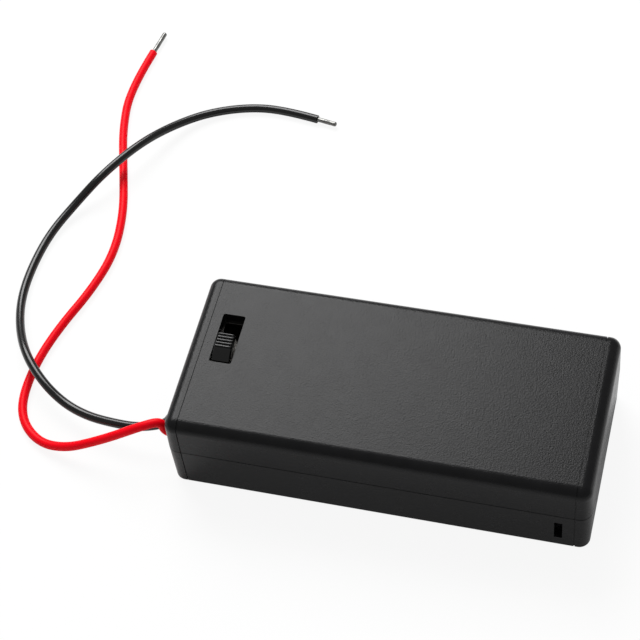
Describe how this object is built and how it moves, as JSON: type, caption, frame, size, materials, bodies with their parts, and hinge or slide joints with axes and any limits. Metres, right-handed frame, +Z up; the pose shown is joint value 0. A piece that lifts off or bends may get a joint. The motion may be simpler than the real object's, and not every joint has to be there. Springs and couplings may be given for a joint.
{
  "type": "cylindrical cell holder",
  "caption": "Closed flat battery box for small cylindrical cells, with a slide switch, a clip-on cover and stripped flying leads.",
  "frame": {"origin": "centre of the cover's flat underside, on the surface that the box lies on", "axes": "+X along the box from the lead end to the far end, +Y across it to the back, +Z up through the switch face"},
  "size_m": [0.0996, 0.0899, 0.0165],
  "materials": {
    "box_abs": "fine spark-eroded texture on black ABS",
    "knob_plastic": "smooth black acetal",
    "phenolic_board": "punched black laminate",
    "plated_steel": "nickel-plated sheet and spring wire",
    "spring_bronze": "phosphor bronze strip",
    "red_pvc": "extruded PVC, satin",
    "black_pvc": "extruded PVC, satin",
    "tinned_copper": "twisted strands, tinned",
    "solder": "bright solder"
  },
  "bodies": {
    "cover": {"cover": "box_abs"},
    "box": {"tray": "box_abs", "switch_frame": "plated_steel", "switch_board": "phenolic_board", "switch_terminal_1": "plated_steel", "switch_terminal_2": "plated_steel", "switch_terminal_3": "plated_steel", "positive_plate": "plated_steel", "negative_plate": "plated_steel", "link_plate": "plated_steel", "negative_spring": "plated_steel", "link_spring": "plated_steel", "jumper_wire": "red_pvc", "red_lead_tail": "red_pvc", "black_lead_tail": "black_pvc", "red_lead": "red_pvc", "black_lead": "black_pvc", "red_lead_tip": "tinned_copper", "black_lead_tip": "tinned_copper", "solder_red": "solder", "solder_jumper_switch": "solder", "solder_jumper_plate": "solder", "solder_black": "solder"},
    "knob": {"switch_knob": "knob_plastic", "switch_contact": "spring_bronze"}
  },
  "joints": [
    {"name": "box_lift", "type": "slide", "parent": "cover", "child": "box", "axis": [0, 0, 1], "range_m": [0, 0.02]},
    {"name": "switch_slide", "type": "slide", "parent": "box", "child": "knob", "axis": [0, 1, 0], "range_m": [0, 0.004]}
  ]
}
